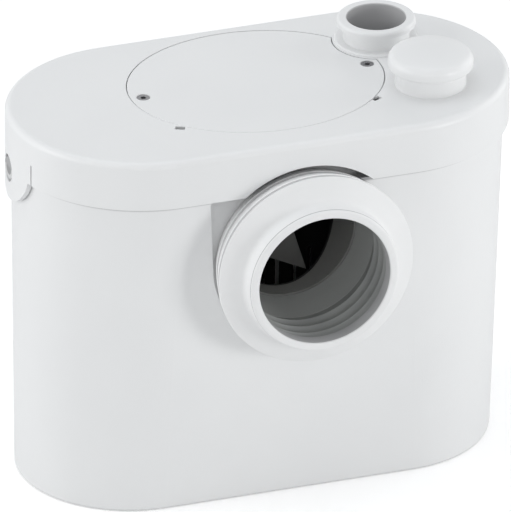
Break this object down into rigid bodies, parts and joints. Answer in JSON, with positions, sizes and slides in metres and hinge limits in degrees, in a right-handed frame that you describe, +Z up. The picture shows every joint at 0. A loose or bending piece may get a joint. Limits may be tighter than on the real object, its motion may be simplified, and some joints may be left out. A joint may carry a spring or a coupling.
{
  "type": "macerator toilet pump",
  "caption": "White box that stands behind a toilet, shreds what the pan lets out and pumps it up a narrow pipe; rubber pan sleeve in front, open discharge socket and capped vent on the lid.",
  "frame": {"origin": "on the floor, under the middle of the lid", "axes": "+X along the long side, to the right as seen from the toilet; -Y out of the pan sleeve, towards the toilet; +Z up"},
  "size_m": [0.34, 0.224, 0.2909],
  "materials": {
    "white_plastic": "satin moulded white plastic",
    "white_rubber": "soft matt white rubber",
    "grey_plastic": "matt moulded grey plastic",
    "black_plastic": "matt black plastic",
    "dark_rubber": "matt black rubber",
    "screw_steel": "dull zinc-plated steel",
    "stainless_steel": "brushed stainless steel",
    "lamination_steel": "stacked electrical steel",
    "cast_aluminium": "plain cast aluminium",
    "copper_wire": "lacquered copper wire",
    "brass_metal": "plain machined brass",
    "filter_foam": "open-cell carbon foam"
  },
  "bodies": {
    "housing": {"tank": "white_plastic", "inlet_neck": "white_plastic", "lid": "white_plastic", "discharge_socket": "white_plastic", "vent_spigot": "white_plastic", "pan_sleeve": "white_rubber", "lid_gasket": "dark_rubber", "cover_seal": "dark_rubber", "deck_seal": "dark_rubber", "deck_screws": "screw_steel", "bracket_screws": "screw_steel", "pump_screws": "screw_steel", "vent_filter": "filter_foam", "motor_pot": "grey_plastic", "stator": "lamination_steel", "windings": "copper_wire", "lower_bearing": "stainless_steel", "upper_bearing": "stainless_steel", "motor_bracket": "cast_aluminium", "shaft_seal": "dark_rubber", "shaft_guard": "grey_plastic", "basket": "grey_plastic", "basket_collar": "grey_plastic", "pump_casing": "grey_plastic", "pump_cover": "grey_plastic", "riser_hose": "dark_rubber", "hose_clips": "stainless_steel", "valve_body": "grey_plastic", "valve_seat": "dark_rubber", "flap_pin": "stainless_steel", "pressure_bell": "grey_plastic", "diaphragm": "dark_rubber", "sensor_cap": "grey_plastic", "microswitch": "black_plastic", "switch_bracket": "cast_aluminium", "capacitor": "black_plastic", "capacitor_saddle": "grey_plastic", "terminal_block": "grey_plastic", "gland_body": "black_plastic", "gland_nut": "black_plastic", "gland_seal": "dark_rubber"},
    "rotor": {"motor_shaft": "stainless_steel", "rotor_core": "lamination_steel", "rotor_cage": "cast_aluminium", "cutter_blade": "stainless_steel", "blade_spacer": "stainless_steel", "impeller": "black_plastic", "impeller_nut": "brass_metal"},
    "flap": {"check_flap": "dark_rubber"},
    "cap": {"vent_cap": "white_plastic"},
    "cover": {"access_cover": "white_plastic", "cover_screws": "screw_steel"},
    "plunger": {"switch_plunger": "grey_plastic"},
    "lever": {"switch_lever": "stainless_steel"},
    "button": {"switch_button": "grey_plastic"}
  },
  "joints": [
    {"name": "rotor_spin", "type": "hinge", "parent": "housing", "child": "rotor", "pos_m": [0.0058, 0.019, 0.1], "axis": [0, 0, 1], "continuous": true},
    {"name": "check_flap_swing", "type": "hinge", "parent": "housing", "child": "flap", "pos_m": [0.0779, 0.0396, 0.2161], "axis": [0, -1, 0], "range_deg": [0, 55]},
    {"name": "vent_cap_pull", "type": "slide", "parent": "housing", "child": "cap", "axis": [0, 0, 1], "range_m": [0, 0.03]},
    {"name": "access_cover_lift", "type": "slide", "parent": "housing", "child": "cover", "axis": [0, 0, 1], "range_m": [0, 0.03]},
    {"name": "plunger_travel", "type": "slide", "parent": "housing", "child": "plunger", "axis": [0, 0, 1], "range_m": [0, 0.0015], "stiffness_N_per_m": 200, "springref_m": -0.0005, "deforming": ["diaphragm"]},
    {"name": "lever_tilt", "type": "hinge", "parent": "housing", "child": "lever", "pos_m": [-0.065, -0.019, 0.2439], "axis": [0, -1, 0], "range_deg": [0, 13.5]},
    {"name": "switch_button_press", "type": "slide", "parent": "housing", "child": "button", "axis": [0, 0, 1], "range_m": [0, 0.0024]}
  ],
  "couplings": [
    {"joint": "lever_tilt", "follows": "plunger_travel", "rad_per_m": 125},
    {"joint": "switch_button_press", "follows": "plunger_travel", "ratio": 1.25}
  ]
}
